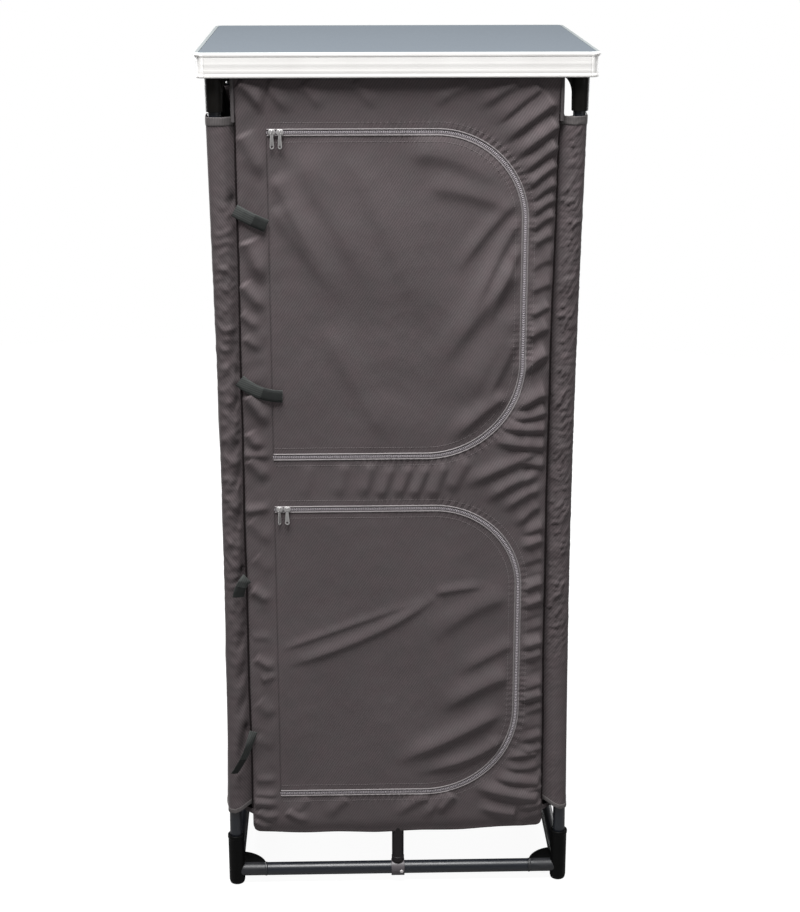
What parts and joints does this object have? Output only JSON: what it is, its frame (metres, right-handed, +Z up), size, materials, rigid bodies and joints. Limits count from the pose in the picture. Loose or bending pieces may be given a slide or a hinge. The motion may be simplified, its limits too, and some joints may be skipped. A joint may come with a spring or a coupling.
{
  "type": "camp wardrobe",
  "caption": "Free-standing camp wardrobe: a tube frame with plug-in corner mouldings, a fabric cover with zipped doors, inner shelves and a lift-off table top.",
  "frame": {"origin": "on the floor, under the middle of the table top", "axes": "+Z up, the doors face -Y, +X to the right seen from the front"},
  "size_m": [0.6, 0.5, 1.385],
  "materials": {
    "board_laminate": "grey-blue laminate with a fine speckle, satin",
    "edge_aluminium": "white coated extrusion with lengthways ribs, satin",
    "edge_cap_plastic": "white moulded, satin",
    "tube_steel": "blue-black coated tube, satin",
    "moulding_plastic": "black moulded, satin",
    "shelf_covered_board": "stiff board in dark fabric",
    "cover_fabric": "grey-brown coated polyester with a fine diagonal weave",
    "door_fabric": "grey-brown coated polyester with a fine diagonal weave",
    "zip_tape": "grey woven tape with a coil",
    "zip_metal": "grey plated zinc casting, satin",
    "strap_webbing": "black woven webbing"
  },
  "bodies": {
    "frame_and_cover": {"back_prop": "moulding_plastic", "back_prop_saddle": "moulding_plastic", "base_board": "shelf_covered_board", "bottom_bar_back": "tube_steel", "bottom_bar_front": "tube_steel", "bottom_bar_left": "tube_steel", "bottom_bar_right": "tube_steel", "bottom_corner_back_left": "moulding_plastic", "bottom_corner_back_right": "moulding_plastic", "bottom_corner_front_left": "moulding_plastic", "bottom_corner_front_right": "moulding_plastic", "cover_back": "cover_fabric", "cover_front": "cover_fabric", "cover_left": "cover_fabric", "cover_right": "cover_fabric", "front_prop": "moulding_plastic", "front_prop_saddle": "moulding_plastic", "hanging_rail": "tube_steel", "leg_back_left": "tube_steel", "leg_back_right": "tube_steel", "leg_front_left": "tube_steel", "leg_front_right": "tube_steel", "lower_zip_fixed": "zip_tape", "middle_shelf": "shelf_covered_board", "rail_clip_left": "moulding_plastic", "rail_clip_right": "moulding_plastic", "tie_strap_1": "strap_webbing", "tie_strap_2": "strap_webbing", "tie_strap_3": "strap_webbing", "tie_strap_4": "strap_webbing", "top_bar_back": "tube_steel", "top_bar_front": "tube_steel", "top_bar_left": "tube_steel", "top_bar_right": "tube_steel", "top_corner_back_left": "moulding_plastic", "top_corner_back_right": "moulding_plastic", "top_corner_front_left": "moulding_plastic", "top_corner_front_right": "moulding_plastic", "upper_zip_fixed": "zip_tape"},
    "table_top": {"table_board": "board_laminate", "table_edge_front": "edge_aluminium", "table_edge_back": "edge_aluminium", "table_edge_left": "edge_aluminium", "table_edge_right": "edge_aluminium", "table_cap_front_left": "edge_cap_plastic", "table_cap_front_right": "edge_cap_plastic", "table_cap_back_left": "edge_cap_plastic", "table_cap_back_right": "edge_cap_plastic"},
    "upper_door": {"upper_door": "door_fabric", "upper_zip_moving": "zip_tape", "upper_slider_left": "zip_metal"},
    "upper_slider": {"upper_slider_right": "zip_metal"},
    "upper_pull_left": {"upper_pull_left": "zip_metal"},
    "upper_pull_right": {"upper_pull_right": "zip_metal"},
    "lower_door": {"lower_door": "door_fabric", "lower_zip_moving": "zip_tape", "lower_slider_left": "zip_metal"},
    "lower_slider": {"lower_slider_right": "zip_metal"},
    "lower_pull_left": {"lower_pull_left": "zip_metal"},
    "lower_pull_right": {"lower_pull_right": "zip_metal"}
  },
  "joints": [
    {"name": "table_lift", "type": "slide", "parent": "frame_and_cover", "child": "table_top", "axis": [0, 0, 1], "range_m": [0, 0.08]},
    {"name": "upper_door_swing", "type": "hinge", "parent": "frame_and_cover", "child": "upper_door", "pos_m": [-0.195, -0.2418, 1.014], "axis": [0, 0, -1], "range_deg": [0, 165]},
    {"name": "upper_slider_run", "type": "slide", "parent": "upper_door", "child": "upper_slider", "axis": [1, 0, 0], "range_m": [0, 0.22]},
    {"name": "upper_pull_left_flip", "type": "hinge", "parent": "upper_door", "child": "upper_pull_left", "pos_m": [-0.18745, -0.2429, 1.267], "axis": [-1, 0, 0], "range_deg": [0, 178]},
    {"name": "upper_pull_right_flip", "type": "hinge", "parent": "upper_slider", "child": "upper_pull_right", "pos_m": [-0.17545, -0.2429, 1.267], "axis": [-1, 0, 0], "range_deg": [0, 178]},
    {"name": "lower_door_swing", "type": "hinge", "parent": "frame_and_cover", "child": "lower_door", "pos_m": [-0.195, -0.2418, 0.42375], "axis": [0, 0, -1], "range_deg": [0, 165]},
    {"name": "lower_slider_run", "type": "slide", "parent": "lower_door", "child": "lower_slider", "axis": [1, 0, 0], "range_m": [0, 0.22]},
    {"name": "lower_pull_left_flip", "type": "hinge", "parent": "lower_door", "child": "lower_pull_left", "pos_m": [-0.18745, -0.2429, 0.674], "axis": [-1, 0, 0], "range_deg": [0, 178]},
    {"name": "lower_pull_right_flip", "type": "hinge", "parent": "lower_slider", "child": "lower_pull_right", "pos_m": [-0.17545, -0.2429, 0.674], "axis": [-1, 0, 0], "range_deg": [0, 178]}
  ]
}
